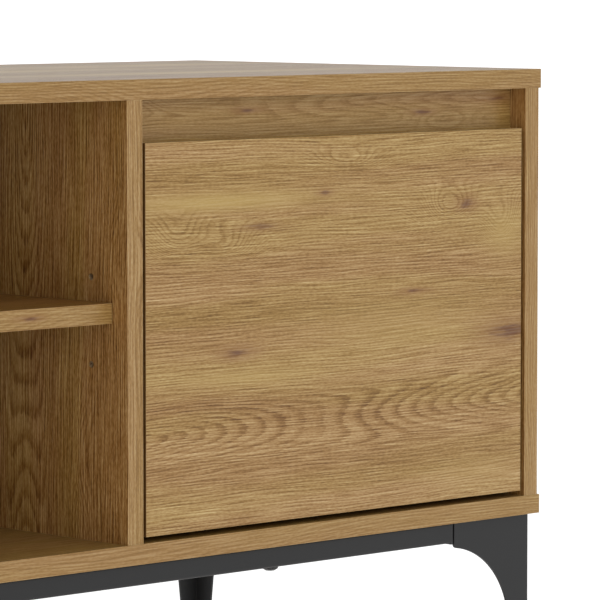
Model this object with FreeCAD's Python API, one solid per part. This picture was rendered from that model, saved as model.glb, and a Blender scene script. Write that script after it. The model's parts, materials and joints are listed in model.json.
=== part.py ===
"""A low TV stand: an oak-faced chipboard carcass on a painted steel base, with two side-hung inset doors.

A door bay stands at each end, and an open bay with an adjustable shelf lies between them. The top and the
bottom board run the full width, the four uprights stand between them, and thin hardboard closes the back.
Above each door a recessed strip leaves a finger gap, and a bevel behind the door's top edge is the grip.
Each door swings on two concealed single-pivot hinges: a cup in the door carries the pin, and a hooked arm
reaches into the cup from a plate on the side. A magnetic catch holds the door shut. The base is four folded
sheet-steel corner legs and four rectangular tubes between them, all fixed to the underside of the bottom
board.

Millimetres. +X is to the right, +Y to the back, +Z up. The origin is on the floor, under the middle of the
stand. Parts of the right half are made first, and the left half is their mirror image.
"""
import FreeCAD
import Part
import math
import os

Vector = FreeCAD.Vector

# Overall sizes
WIDTH = 1400.0
DEPTH = 400.0
CARCASS_HEIGHT = 352.0
LEG_HEIGHT = 150.0

# Boards
BOARD = 15.0
BACK_BOARD = 3.0
EDGE_RADIUS = 0.4
SIDE_OVERHANG = 2.2          # how far the top and bottom boards stand out past the sides
UPRIGHT_SETBACK = 0.5        # uprights behind the front edge of the top and bottom boards
BACK_INSET = 0.5             # the back's outer face inside the rear edge of the top board
BACK_CLEARANCE = 0.5         # round each back board
DOOR_BAY = 405.5             # clear width of each door bay

# Doors and the finger gap above them
DOOR_SIDE_GAP = 3.4
DOOR_BOTTOM_GAP = 4.3
DOOR_RECESS = 1.5            # door face behind the front edge of the top board
FINGER_GAP = 31.2            # from the top board down to the door
GRIP_BEVEL = 10.0            # 45 degree bevel behind the door's top edge
STRIP_SETBACK = 17.0
STRIP_OVERLAP = 2.5          # the strip reaches this far below the door's top edge, behind the bevel

# Shelf
SHELF_SETBACK = 16.3
SHELF_CABLE_GAP = 35.2        # between the shelf and the back panel
SHELF_END_GAP = 0.75
PIN_RADIUS = 2.5
PIN_HOLE_DEPTH = BOARD - 6.0
PIN_PITCH = 32.0
PIN_INSET = 24.0             # pin holes from the shelf's front and rear edges
BLADE = (8.0, 12.0, 1.8)     # the pin's flat support: out of the upright, along it, thickness
BLADE_DROP = 0.7             # the blade's top below the pin's axis

# Concealed hinges, placed from the door's hinge edge (u, into the door) and its face (v, towards the back)
PIVOT_U = 7.5
PIVOT_V = 6.8
HINGE_INSET = 58.0           # hinge centres from the door's top and bottom edges
CUP_RADIUS = 17.5
CUP_DEPTH = BOARD - 3.0
CUP_EDGE = 3.0               # door wood left between the cup and the hinge edge
CUP_WALL = 0.9
CUP_FLANGE = 1.0
CUP_EAR_PITCH = 45.0
CUP_EAR_OFFSET = 5.5         # ear screws from the cup's centre, away from the hinge edge
PIN_R = 1.3
PIN_HALF_LENGTH = 8.6
CHEEK = (6.0, 8.0)           # half-widths between which each pin cheek lies
EYE_RADIUS = 2.3
ARM = 2.0                    # thickness of the arm's steel strip
ARM_HALF_WIDTH = 5.0
HOOK_CLEARANCE = 3.3         # between the cup's flange and the hook
HOOK = BOARD - PIVOT_V + CUP_FLANGE + HOOK_CLEARANCE + ARM / 2    # pivot to the middle of the hook's bars
ARM_LENGTH = 52.0            # the straight flange along the side
ARM_BEND = 2.5
PLATE = (2.0, 44.0, 30.0)    # mounting plate: off the side, along Y, up
PLATE_SCREW_PITCH = 22.0
PLATE_SCREW_LENGTH = BOARD - 4.0 + PLATE[0]
ARM_SCREW_PITCH = 24.0
RUNNING_CLEARANCE = 0.05
PRESS_CLEARANCE = 0.02

# Magnetic catch
CATCH = (18.0, 18.0, 46.0)    # off the divider, along Y, up
CATCH_GAP = 0.3              # catch face behind the strike plate
CATCH_SCREW_PITCH = 34.0
MAGNET = (6.0, 10.0, 22.0)
POLE = 1.2
STRIKE = (11.0, 1.0, 36.0)    # across the door, thickness, up
STRIKE_EDGE = 1.0            # strike plate inside the door's free edge
CATCH_SCREW_IN = BOARD - 5.0

# Steel base
BASE_INSET = 5.9             # legs and tubes inside the edge of the bottom board
SHEET = 2.0
SHEET_BEND = 2.2             # outer radius of the fold
FLANGE_WIDTH = 85.5
FLANGE_EDGE = 20.0
LEG_ARC = 70.0               # radius of the curve between the flange and the leg
LEG_ARC_OUT = 92.0           # the curve's centre from the leg's outer corner
LEG_TAPER = 0.115            # the leg narrows by this much for each millimetre down
FLANGE_TIP_RADIUS = 3.5
LEG_PLATE = 2.5
LEG_PLATE_SIZE = 80.0
LEG_PLATE_CORNER = 6.0
LEG_PLATE_SCREWS = ((18.0, 18.0), (62.0, 14.0), (14.0, 62.0))
TUBE = (20.0, 16.4)          # width across, height
TUBE_WALL = 1.2
TUBE_CORNER = 2.0
CAP_HEAD = 2.4
CAP_INSET = 0.8              # the cap's head inside the tube's front and back
CAP_TO_LEG = 0.3
CAP_LIP = 1.0
CAP_PLUG = 9.0
LONG_TUBE_BOLTS = (139.5, 419.0)
SHORT_TUBE_BOLT = 60.0
GLIDE_SOLE = 3.0
GLIDE_SLEEVE = 8.0
GLIDE_WALL = 1.4
LEG_SCREW_IN = BOARD - 4.0
INSERT_RADIUS = 4.5
INSERT_LENGTH = BOARD - 5.0

# Fasteners and joinery
FIT = 0.05                   # radial room round a fastener
CONNECTOR_INSET = 60.0       # cams and screws from the front and rear of the stand
DOWEL_SPACING = 32.0         # a dowel this far inside each cam or screw
DOWEL_RADIUS = 4.0
DOWEL_LENGTH = 34.0
DOWEL_IN_BOARD = BOARD - 5.0 # length of an upright's dowel in the top or bottom board
CAM_RADIUS = 7.5
CAM_DEPTH = BOARD - 2.5
CAM_DISTANCE = 34.0          # cam centre from the end of the upright
BOLT_IN_BOARD = BOARD - 4.0
NAIL_INSET = 40.0            # top and bottom nails from the ends of the uprights
STRIP_DOWEL_RADIUS = 3.0
STRIP_DOWEL_LENGTH = 24.0
STRIP_DOWEL_PITCH = 16.0
CONFIRMAT_LENGTH = 50.0
CABLE_HOLE_RADIUS = 30.0
NAIL_COUNT = 4

# Places worked out from the sizes above
RIGHT = WIDTH / 2
FRONT = -DEPTH / 2
REAR = DEPTH / 2
BASE_TOP = LEG_HEIGHT
INSIDE_BOTTOM = BASE_TOP + BOARD
INSIDE_TOP = BASE_TOP + CARCASS_HEIGHT - BOARD
TOP = BASE_TOP + CARCASS_HEIGHT
SIDE_OUTER = RIGHT - SIDE_OVERHANG
SIDE_INNER = SIDE_OUTER - BOARD
DIVIDER_OUTER = SIDE_INNER - DOOR_BAY
DIVIDER_INNER = DIVIDER_OUTER - BOARD
UPRIGHT_FRONT = FRONT + UPRIGHT_SETBACK
UPRIGHT_REAR = REAR - BACK_INSET - BACK_BOARD
CONNECTOR_Y = DEPTH / 2 - CONNECTOR_INSET
DOWEL_Y = CONNECTOR_Y - DOWEL_SPACING
UPRIGHTS = {"side": (SIDE_INNER, SIDE_OUTER), "divider": (DIVIDER_INNER, DIVIDER_OUTER)}

DOOR_HINGE_EDGE = SIDE_INNER - DOOR_SIDE_GAP
DOOR_FREE_EDGE = DIVIDER_OUTER + DOOR_SIDE_GAP
DOOR_FACE = FRONT + DOOR_RECESS
DOOR_BACK = DOOR_FACE + BOARD
DOOR_BOTTOM = INSIDE_BOTTOM + DOOR_BOTTOM_GAP
DOOR_TOP = INSIDE_TOP - FINGER_GAP
HINGE_HEIGHTS = {"lower": DOOR_BOTTOM + HINGE_INSET, "upper": DOOR_TOP - HINGE_INSET}
PIVOT_X = DOOR_HINGE_EDGE - PIVOT_U
PIVOT_Y = DOOR_FACE + PIVOT_V
CUP_X = DOOR_HINGE_EDGE - CUP_EDGE - CUP_RADIUS
CUP_FLOOR = DOOR_BACK - CUP_DEPTH
EAR_X = CUP_X - CUP_EAR_OFFSET
HOOK_BACK = PIVOT_Y + HOOK
ARM_X = SIDE_INNER - PLATE[0] - ARM / 2
ARM_REAR = HOOK_BACK + ARM_LENGTH
PLATE_Y = ARM_REAR - PLATE[1] / 2
CATCH_Y = DOOR_BACK + STRIKE[1] + CATCH_GAP
CATCH_Z = (DOOR_BOTTOM + DOOR_TOP) / 2

SHELF_MIDDLE = (INSIDE_BOTTOM + INSIDE_TOP) / 2
SHELF_UNDERSIDE = SHELF_MIDDLE - BLADE_DROP
SHELF_FRONT = FRONT + SHELF_SETBACK
SHELF_REAR = UPRIGHT_REAR - SHELF_CABLE_GAP
PIN_ROWS = (SHELF_FRONT + PIN_INSET, SHELF_REAR - PIN_INSET)

LEG_CORNER_X = RIGHT - BASE_INSET
LEG_CORNER_Y = FRONT + BASE_INSET
LEG_FOOT = GLIDE_SOLE
TUBE_X = LEG_CORNER_X - TUBE[0] / 2
TUBE_Y = LEG_CORNER_Y + TUBE[0] / 2
TUBE_BOTTOM = BASE_TOP - TUBE[1]
TUBE_START = FLANGE_WIDTH + CAP_TO_LEG + CAP_HEAD          # from a leg's outer corner
LONG_TUBE_END = LEG_CORNER_X - TUBE_START
SHORT_TUBE_END = -LEG_CORNER_Y - TUBE_START

ALONG_X = Vector(1, 0, 0)
ALONG_Y = Vector(0, 1, 0)
ALONG_Z = Vector(0, 0, 1)


# Shape helpers

def box(x, y, z):
    """A block between two limits along each axis."""
    corner = Vector(min(x), min(y), min(z))
    return Part.makeBox(max(x) - min(x), max(y) - min(y), max(z) - min(z), corner)


def about(middle, size):
    """The two limits of a span with this middle and size."""
    return (middle - size / 2, middle + size / 2)


def rod(radius, start, end):
    """A cylinder from one point to another."""
    start, end = Vector(*start), Vector(*end)
    return Part.makeCylinder(radius, (end - start).Length, start, end - start)


def turned(profile, place, axis):
    """A turned piece: (radius, distance along the axis) points, closed along the axis, put at place."""
    points = [Vector(r, 0, h) for r, h in profile]
    wire = Part.makePolygon(points + [points[0]])
    solid = Part.Face(wire).revolve(Vector(0, 0, 0), ALONG_Z, 360)
    solid.Placement = FreeCAD.Placement(Vector(*place), FreeCAD.Rotation(ALONG_Z, Vector(*axis)))
    return solid


def hexagon(across, depth, place, axis):
    """A hexagonal prism, such as a socket for a key."""
    corner_radius = across / math.sqrt(3)
    points = [Vector(corner_radius * math.cos(math.radians(60 * i)),
                     corner_radius * math.sin(math.radians(60 * i)), 0) for i in range(7)]
    prism = Part.Face(Part.makePolygon(points)).extrude(Vector(0, 0, depth))
    prism.Placement = FreeCAD.Placement(Vector(*place), FreeCAD.Rotation(ALONG_Z, Vector(*axis)))
    return prism


def rounded_face(corners, up=ALONG_Z):
    """A flat face whose outline has (point, corner radius) corners."""
    edges = []
    count = len(corners)
    arcs = []
    for i, (corner, radius) in enumerate(corners):
        before = (corner - corners[i - 1][0]).normalize()
        after = (corners[(i + 1) % count][0] - corner).normalize()
        turn = before.getAngle(after)
        if radius <= 0 or turn < 1e-6:
            arcs.append((corner, None, corner))
            continue
        reach = radius * math.tan(turn / 2)
        inward = (after - before).normalize() * (radius / math.cos(turn / 2) - radius)
        arcs.append((corner - before * reach, corner + inward, corner + after * reach))
    for i, (start, middle, end) in enumerate(arcs):
        if middle is not None:
            edges.append(Part.Arc(start, middle, end).toShape())
        following = arcs[(i + 1) % count][0]
        if (following - end).Length > 1e-6:
            edges.append(Part.LineSegment(end, following).toShape())
    return Part.Face(Part.Wire(edges))


def strip_outline(path, thickness, radius):
    """Outline of a bent strip seen edge on, in the XY plane: both sides of its path, with that middle radius."""
    sides = {1: [], -1: []}
    for i, point in enumerate(path):
        before = (point - path[i - 1]).normalize() if i else None
        after = (path[i + 1] - point).normalize() if i + 1 < len(path) else None
        for side in sides:
            if before is None or after is None:
                along = after or before
                normal = Vector(-along.y, along.x, 0) * side
                sides[side].append((point + normal * (thickness / 2), 0))
                continue
            normals = [Vector(-d.y, d.x, 0) * side for d in (before, after)]
            outer = (normals[0] + normals[1]) * (thickness / 2)
            turning = before.x * after.y - before.y * after.x
            inside = turning * side > 0
            sides[side].append((point + outer, radius + (-thickness / 2 if inside else thickness / 2)))
    return sides[1] + sides[-1][::-1]


def softened(shape, radius, choose):
    """The shape with its chosen edges rounded. choose takes an edge's middle point and its direction."""
    def line_data(edge):
        return edge.CenterOfMass, edge.tangentAt(edge.FirstParameter)
    edges = [e for e in shape.Edges if choose(*line_data(e))]
    return shape.makeFillet(radius, edges) if edges else shape


def near(value, target):
    return abs(value - target) < 1e-4


def left_of(shape):
    """The mirror image in the stand's left half."""
    return shape.mirror(Vector(0, 0, 0), ALONG_X)


def both(shapes):
    """Right-hand solids with their left-hand mirror images."""
    return list(shapes) + [left_of(s) for s in shapes]


def cut_all(shape, tools):
    """The shape less every tool."""
    return shape.cut(list(tools)).removeSplitter() if tools else shape


def save(name, shapes):
    """Writes one node."""
    shapes = shapes if isinstance(shapes, list) else [shapes]
    solids = [solid for shape in shapes for solid in shape.Solids]
    node = solids[0] if len(solids) == 1 else Part.makeCompound(solids)
    for solid in solids:
        if not solid.isValid() or solid.Volume <= 0:
            raise ValueError(f"{name} has a bad solid")
    node.exportStep(f"parts/{name}.step")
    print(f"{name}: {len(solids)} solid(s), {node.Volume / 1000:.2f} cm3")


# Fasteners: each makes the piece, or with room > 0 the hole that it goes in

def countersunk_screw(place, axis, radius, length, head_radius, room=0.0):
    """A wood screw with a countersunk head. place is the middle of the head's face; axis runs to the point."""
    r, h = radius + room, head_radius + room
    tip = length - radius if room == 0 else length + 0.5
    profile = [(0, 0), (h, 0), (r, head_radius - radius), (r, tip)]
    profile += [(0, length)] if room == 0 else [(0, tip)]
    screw = turned(profile, place, axis)
    if room == 0:
        step = Vector(*axis).normalize() * -0.01
        screw = screw.cut(hexagon(radius * 1.1, radius * 0.9 + 0.01, Vector(*place) + step, axis))
    return screw


def pan_screw(place, axis, radius, length, head_radius, head_height):
    """A screw with a domed head that stands on the surface at place; axis runs to the point."""
    profile = [(0, -head_height), (head_radius * 0.55, -head_height),
               (head_radius * 0.88, -head_height * 0.6), (head_radius, 0), (radius, 0),
               (radius, length - radius), (0, length)]
    screw = turned(profile, place, axis)
    top = Vector(*place) - Vector(*axis).normalize() * (head_height + 0.01)
    return screw.cut(hexagon(head_radius * 0.62, head_height * 0.6, top, axis))


def upright_middles():
    """The X of the middle of each right-hand upright."""
    return [sum(limits) / 2 for limits in UPRIGHTS.values()]


def dowel_spots():
    """(x, y) of every right-hand dowel between an upright and the top or bottom board."""
    return [(x, side * DOWEL_Y) for x in upright_middles() for side in (-1, 1)]


def connector_spots():
    """(x, y) of every right-hand cam at the top, and of every screw at the bottom."""
    return [(x, side * CONNECTOR_Y) for x in upright_middles() for side in (-1, 1)]


def upright_dowels(room=0.0):
    """Dowels between the uprights and the top and bottom boards."""
    dowels = []
    for x, y in dowel_spots():
        inner = DOWEL_LENGTH - DOWEL_IN_BOARD
        for end, away in ((INSIDE_BOTTOM, -1), (INSIDE_TOP, 1)):
            low = end + away * (DOWEL_IN_BOARD + room * 10)
            high = end - away * (inner + room * 10)
            dowels.append(rod(DOWEL_RADIUS + room, (x, y, low), (x, y, high)))
    return dowels


def strip_dowels(room=0.0):
    """Dowels that hold a recessed strip between the side and the divider."""
    y = FRONT + STRIP_SETBACK + BOARD / 2
    middle = (INSIDE_TOP + DOOR_TOP - STRIP_OVERLAP) / 2
    half = STRIP_DOWEL_LENGTH / 2 + room * 10
    return [rod(STRIP_DOWEL_RADIUS + room, (x - half, y, middle + up), (x + half, y, middle + up))
            for x in (SIDE_INNER, DIVIDER_OUTER) for up in about(0, STRIP_DOWEL_PITCH)]


def cam_centre(x, y):
    return (x, y, INSIDE_TOP - CAM_DISTANCE)


def cam_face(x):
    """(X of the upright's door-bay face, direction from it into the upright)."""
    return (SIDE_INNER, 1) if x > DOOR_HINGE_EDGE else (DIVIDER_OUTER, -1)


def cam_bores():
    """Holes in the uprights for the cams and the bolts that they pull."""
    tools = []
    for x, y in connector_spots():
        face, inward = cam_face(x)
        _, _, z = cam_centre(x, y)
        tools.append(rod(CAM_RADIUS + FIT, (face, y, z), (face + inward * CAM_DEPTH, y, z)))
        tools.append(rod(DOWEL_RADIUS, (x, y, z), (x, y, INSIDE_TOP)))
    return tools


def cams():
    """Round cam housings, each with a key slot in its face and a hole for the bolt's head."""
    solids = []
    for x, y in connector_spots():
        face, inward = cam_face(x)
        _, _, z = cam_centre(x, y)
        start, end = face + inward * 0.3, face + inward * (CAM_DEPTH - 0.2)
        cam = rod(CAM_RADIUS, (start, y, z), (end, y, z))
        cam = cam.cut(rod(DOWEL_RADIUS, (x, y, z - 1), (x, y, z + CAM_RADIUS + 1)))
        for size in ((1.6, 8.0), (8.0, 1.6)):
            cam = cam.cut(box((start, start + inward * 2.0), about(y, size[0]), about(z, size[1])))
        solids.append(cam)
    return solids


def cam_bolts(room=0.0):
    """Bolts screwed up into the top board, whose ball heads the cams pull."""
    shapes = []
    for x, y in connector_spots():
        _, _, z = cam_centre(x, y)
        if room:
            shapes.append(rod(3.0 + room, (x, y, INSIDE_TOP), (x, y, INSIDE_TOP + BOLT_IN_BOARD + 0.5)))
            continue
        drop = z - INSIDE_TOP
        tip = BOLT_IN_BOARD
        profile = [(0, tip), (2.4, tip), (3.0, tip - 1.5), (3.0, 0), (3.6, 0), (3.6, drop + 9),
                   (2.0, drop + 8), (2.0, drop + 4), (3.2, drop + 2.5), (3.2, drop + 0.5), (2.0, drop), (0, drop)]
        shapes.append(turned(profile, (x, y, INSIDE_TOP), (0, 0, 1)))
    return shapes


def confirmat_screws(room=0.0):
    """Long screws up through the bottom board into the uprights."""
    return [countersunk_screw((x, y, BASE_TOP + 0.3), (0, 0, 1), 3.2, CONFIRMAT_LENGTH, 5.0, room)
            for x, y in connector_spots()]


# Carcass

def full_board(bottom):
    """The top or the bottom board, with rounded edges."""
    board = box((-RIGHT, RIGHT), (FRONT, REAR), (bottom, bottom + BOARD))
    return board.makeFillet(EDGE_RADIUS, board.Edges)


def top_board():
    tools = both(upright_dowels(FIT) + cam_bolts(FIT))
    return cut_all(full_board(INSIDE_TOP), tools)


def bottom_board():
    tools = upright_dowels(FIT) + confirmat_screws(FIT)
    tools += [rod(2.0 + FIT, p, (p[0], p[1], p[2] + LEG_SCREW_IN + 0.5)) for p in leg_screw_spots()]
    inserts = [rod(INSERT_RADIUS + FIT, (x, y, BASE_TOP), (x, y, BASE_TOP + INSERT_LENGTH + 1))
               for x, y in tube_bolt_spots()]
    return cut_all(full_board(BASE_TOP), both(tools + inserts))


def upright(limits):
    """A side or a divider, with its front edges rounded."""
    board = box(limits, (UPRIGHT_FRONT, UPRIGHT_REAR), (INSIDE_BOTTOM, INSIDE_TOP))
    board = softened(board, EDGE_RADIUS,
                     lambda middle, way: near(middle.y, UPRIGHT_FRONT) and near(abs(way.z), 1))
    tools = cam_bores() + upright_dowels(FIT) + strip_dowels(FIT) + confirmat_screws(FIT)
    tools += plate_screws(FIT) + catch_screws(FIT) + shelf_pin_holes() + nails(FIT)
    return cut_all(board, [t for t in tools if t.BoundBox.intersect(board.BoundBox)])


def recess_strip():
    """The strip above a door, which closes the finger gap at the back."""
    y = FRONT + STRIP_SETBACK
    strip = box((DIVIDER_OUTER, SIDE_INNER), (y, y + BOARD), (DOOR_TOP - STRIP_OVERLAP, INSIDE_TOP))
    strip = softened(strip, EDGE_RADIUS, lambda middle, way: near(middle.z, DOOR_TOP - STRIP_OVERLAP)
                     and near(abs(way.x), 1))
    return cut_all(strip, strip_dowels(FIT))


def back_boards():
    """The right and the centre back board."""
    heights = (INSIDE_BOTTOM + BACK_CLEARANCE, INSIDE_TOP - BACK_CLEARANCE)
    y = (UPRIGHT_REAR, UPRIGHT_REAR + BACK_BOARD)
    joint = (DIVIDER_INNER + DIVIDER_OUTER) / 2
    right = box((joint + BACK_CLEARANCE, SIDE_OUTER - BACK_CLEARANCE), y, heights)
    centre = box((-joint + BACK_CLEARANCE, joint - BACK_CLEARANCE), y, heights)
    holes = [rod(CABLE_HOLE_RADIUS, (0, y[0] - 1, z), (0, y[1] + 1, z)) for z in cable_hole_heights()]
    return cut_all(right, nails(FIT)), cut_all(centre, holes + both(nails(FIT)))


def cable_hole_heights():
    """The middle of the space below the shelf and of the space above it."""
    shelf_top = SHELF_UNDERSIDE + BOARD
    return ((INSIDE_BOTTOM + SHELF_UNDERSIDE) / 2, (shelf_top + INSIDE_TOP) / 2)


def nails(room=0.0):
    """Panel pins through the right-hand back boards into the uprights."""
    joint = (DIVIDER_INNER + DIVIDER_OUTER) / 2
    columns = (sum(UPRIGHTS["side"]) / 2, joint - BOARD / 4, joint + BOARD / 4)
    lowest = INSIDE_BOTTOM + NAIL_INSET
    spacing = (INSIDE_TOP - NAIL_INSET - lowest) / (NAIL_COUNT - 1)
    outer = UPRIGHT_REAR + BACK_BOARD
    profile = [(0, -0.4), (1.5 + room, -0.4), (1.5 + room, 0), (0.6 + room, 0), (0.6 + room, 14), (0, 15)]
    return [turned(profile, (x, outer, lowest + spacing * i), (0, -1, 0))
            for x in columns for i in range(NAIL_COUNT)]


# Shelf

def shelf():
    half = DIVIDER_INNER - SHELF_END_GAP
    board = box((-half, half), (SHELF_FRONT, SHELF_REAR), (SHELF_UNDERSIDE, SHELF_UNDERSIDE + BOARD))
    return softened(board, EDGE_RADIUS, lambda middle, way: near(middle.y, SHELF_FRONT))


def shelf_pin_holes():
    """Three rows of holes in the divider's open side."""
    return [rod(PIN_RADIUS + FIT, (DIVIDER_INNER, y, SHELF_MIDDLE + row * PIN_PITCH),
                (DIVIDER_INNER + PIN_HOLE_DEPTH, y, SHELF_MIDDLE + row * PIN_PITCH))
            for y in PIN_ROWS for row in (-1, 0, 1)]


def shelf_pins():
    """Right-hand shelf supports: a pin in the divider with a collar and a flat blade under the shelf."""
    pins = []
    for y in PIN_ROWS:
        tip = (DIVIDER_INNER + PIN_HOLE_DEPTH - 1, y, SHELF_MIDDLE)
        pin = rod(PIN_RADIUS, (DIVIDER_INNER - SHELF_END_GAP + 0.1, y, SHELF_MIDDLE), tip)
        top = SHELF_UNDERSIDE
        blade = box((DIVIDER_INNER - BLADE[0], DIVIDER_INNER), about(y, BLADE[1]), (top - BLADE[2], top))
        blade = softened(blade, 3.0, lambda middle, way: near(middle.x, DIVIDER_INNER - BLADE[0])
                         and near(abs(way.z), 1))
        pins.append(pin.fuse(blade).removeSplitter())
    return pins


# Doors

def door():
    """A door with its grip bevel and the bores for its hinge cups."""
    leaf = box((DOOR_FREE_EDGE, DOOR_HINGE_EDGE), (DOOR_FACE, DOOR_BACK), (DOOR_BOTTOM, DOOR_TOP))
    bevel = [Vector(DOOR_FREE_EDGE, DOOR_BACK - GRIP_BEVEL, DOOR_TOP),
             Vector(DOOR_FREE_EDGE, DOOR_BACK, DOOR_TOP),
             Vector(DOOR_FREE_EDGE, DOOR_BACK, DOOR_TOP - GRIP_BEVEL)]
    width = Vector(DOOR_HINGE_EDGE - DOOR_FREE_EDGE, 0, 0)
    wedge = Part.Face(Part.makePolygon(bevel + bevel[:1])).extrude(width)
    leaf = leaf.cut(wedge)
    leaf = softened(leaf, EDGE_RADIUS, lambda middle, way: near(middle.y, DOOR_FACE))
    tools = [rod(CUP_RADIUS + FIT, (CUP_X, CUP_FLOOR, z), (CUP_X, DOOR_BACK + 1, z))
             for z in HINGE_HEIGHTS.values()]
    return cut_all(leaf, tools + cup_screws(FIT) + strike_screws(FIT))


def hinge_cup(z):
    """A steel cup with a flange on the door's back, and two cheeks inside that hold the pin."""
    cup = rod(CUP_RADIUS, (CUP_X, CUP_FLOOR, z), (CUP_X, DOOR_BACK, z))
    ear = 6.5
    reach = CUP_EAR_PITCH / 2 + ear
    rim_edge = DOOR_HINGE_EDGE - CUP_EDGE
    y = DOOR_BACK
    half = [(EAR_X - ear, -reach), (EAR_X + ear, -reach), (EAR_X + ear, -CUP_RADIUS * 0.8),
            (rim_edge, -CUP_RADIUS * 0.7)]
    inner_half = [(CUP_X - CUP_RADIUS - 1, CUP_RADIUS * 0.5), (CUP_X - CUP_RADIUS - 1, -CUP_RADIUS * 0.5)]
    outline = half + [(x, -up) for x, up in reversed(half)] + inner_half
    flange = rounded_face([(Vector(x, y, z + up), 2.0) for x, up in outline])
    cup = cup.fuse(flange.extrude(Vector(0, CUP_FLANGE, 0)))
    hollow = rod(CUP_RADIUS - CUP_WALL, (CUP_X, CUP_FLOOR + CUP_WALL, z), (CUP_X, DOOR_BACK + 5, z))
    cup = cup.cut(hollow)
    for side in (-1, 1):
        cheek = box(about(PIVOT_X, 6), (CUP_FLOOR + CUP_WALL / 2, PIVOT_Y + 3.2),
                    (z + side * CHEEK[0], z + side * CHEEK[1]))
        inside_cup = rod(CUP_RADIUS - CUP_WALL / 2, (CUP_X, CUP_FLOOR, z), (CUP_X, DOOR_BACK, z))
        cup = cup.fuse(cheek.common(inside_cup))
    pin_ends = [(PIVOT_X, PIVOT_Y, z + up) for up in about(0, 2 * PIN_HALF_LENGTH)]
    cup = cup.cut(rod(PIN_R + PRESS_CLEARANCE, *pin_ends))
    return cut_all(cup, cup_screws(FIT))


def cup_screws(room=0.0):
    """Two countersunk screws through each cup's ears."""
    return [countersunk_screw((EAR_X, DOOR_BACK + CUP_FLANGE, z + up), (0, -1, 0), 1.6, 12.0, 2.5, room)
            for z in HINGE_HEIGHTS.values() for up in about(0, CUP_EAR_PITCH)]


def hinge_pins():
    """The pins that the doors turn on."""
    return [rod(PIN_R, (PIVOT_X, PIVOT_Y, z - PIN_HALF_LENGTH), (PIVOT_X, PIVOT_Y, z + PIN_HALF_LENGTH))
            for z in HINGE_HEIGHTS.values()]


def hinge_arm(z):
    """A strip bent into a hook that clears the door's edge, with an eye round the pin."""
    stem_x = PIVOT_X - HOOK
    path = [Vector(PIVOT_X, PIVOT_Y, z - ARM_HALF_WIDTH), Vector(stem_x, PIVOT_Y, z - ARM_HALF_WIDTH),
            Vector(stem_x, HOOK_BACK, z - ARM_HALF_WIDTH), Vector(ARM_X, HOOK_BACK, z - ARM_HALF_WIDTH),
            Vector(ARM_X, ARM_REAR, z - ARM_HALF_WIDTH)]
    arm = rounded_face(strip_outline(path, ARM, ARM_BEND)).extrude(Vector(0, 0, 2 * ARM_HALF_WIDTH))
    ends = ((PIVOT_X, PIVOT_Y, z - ARM_HALF_WIDTH), (PIVOT_X, PIVOT_Y, z + ARM_HALF_WIDTH))
    arm = arm.fuse(rod(EYE_RADIUS, *ends))
    arm = arm.cut(rod(PIN_R + RUNNING_CLEARANCE, (PIVOT_X, PIVOT_Y, z - 9), (PIVOT_X, PIVOT_Y, z + 9)))
    return cut_all(arm, arm_screws(FIT))


def mounting_plate(z):
    """A plate on the side that carries the arm."""
    x = (SIDE_INNER - PLATE[0], SIDE_INNER)
    plate = box(x, about(PLATE_Y, PLATE[1]), about(z, PLATE[2]))
    plate = softened(plate, 5.0, lambda middle, way: near(abs(way.x), 1))
    return cut_all(plate, plate_screws(FIT) + arm_screws(FIT))


def plate_screws(room=0.0):
    """Two countersunk screws through each mounting plate into the side."""
    x = SIDE_INNER - PLATE[0]
    return [countersunk_screw((x, PLATE_Y, z + up), (1, 0, 0), 1.9, PLATE_SCREW_LENGTH, 3.4, room)
            for z in HINGE_HEIGHTS.values() for up in about(0, PLATE_SCREW_PITCH)]


def arm_screws(room=0.0):
    """A small screw that clamps each arm to its plate."""
    x = SIDE_INNER - PLATE[0] - ARM
    shapes = []
    for z in HINGE_HEIGHTS.values():
        for along in about(PLATE_Y, ARM_SCREW_PITCH):
            if room:
                shapes.append(rod(1.5 + room, (x - 1, along, z), (SIDE_INNER, along, z)))
            else:
                shapes.append(pan_screw((x, along, z), (1, 0, 0), 1.5, PLATE[0] + ARM - 0.3, 3.0, 1.6))
    return shapes


def catch_housing():
    """The catch's body on the divider, with a pocket for the magnet and its pole plates."""
    face = DIVIDER_OUTER + CATCH[0]
    body = box((DIVIDER_OUTER, face), (CATCH_Y + 0.4, CATCH_Y + CATCH[1]), about(CATCH_Z, CATCH[2]))
    body = softened(body, 2.0, lambda middle, way: near(middle.x, face) or near(abs(way.x), 1))
    middle = DIVIDER_OUTER + CATCH[0] / 2
    pocket = box(about(middle, MAGNET[0] + 2 * POLE + 0.2), (CATCH_Y - 1, CATCH_Y + MAGNET[1] + 0.4),
                 about(CATCH_Z, MAGNET[2] + 0.2))
    return cut_all(body.cut(pocket), catch_screws(FIT))


def catch_screws(room=0.0):
    """Two countersunk screws that hold each catch to its divider."""
    y = CATCH_Y + CATCH[1] / 2
    return [countersunk_screw((DIVIDER_OUTER + CATCH[0], y, CATCH_Z + up), (-1, 0, 0), 1.6,
                              CATCH[0] + CATCH_SCREW_IN, 3.0, room)
            for up in about(0, CATCH_SCREW_PITCH)]


def catch_magnet():
    middle = DIVIDER_OUTER + CATCH[0] / 2
    return box(about(middle, MAGNET[0]), (CATCH_Y + 0.2, CATCH_Y + MAGNET[1]), about(CATCH_Z, MAGNET[2]))


def pole_plates():
    """The magnet's two steel plates, which meet the strike."""
    middle = DIVIDER_OUTER + CATCH[0] / 2
    inner, outer = MAGNET[0] / 2, MAGNET[0] / 2 + POLE
    return [box((middle + side * inner, middle + side * outer), (CATCH_Y, CATCH_Y + MAGNET[1]),
                about(CATCH_Z, MAGNET[2])) for side in (-1, 1)]


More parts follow.
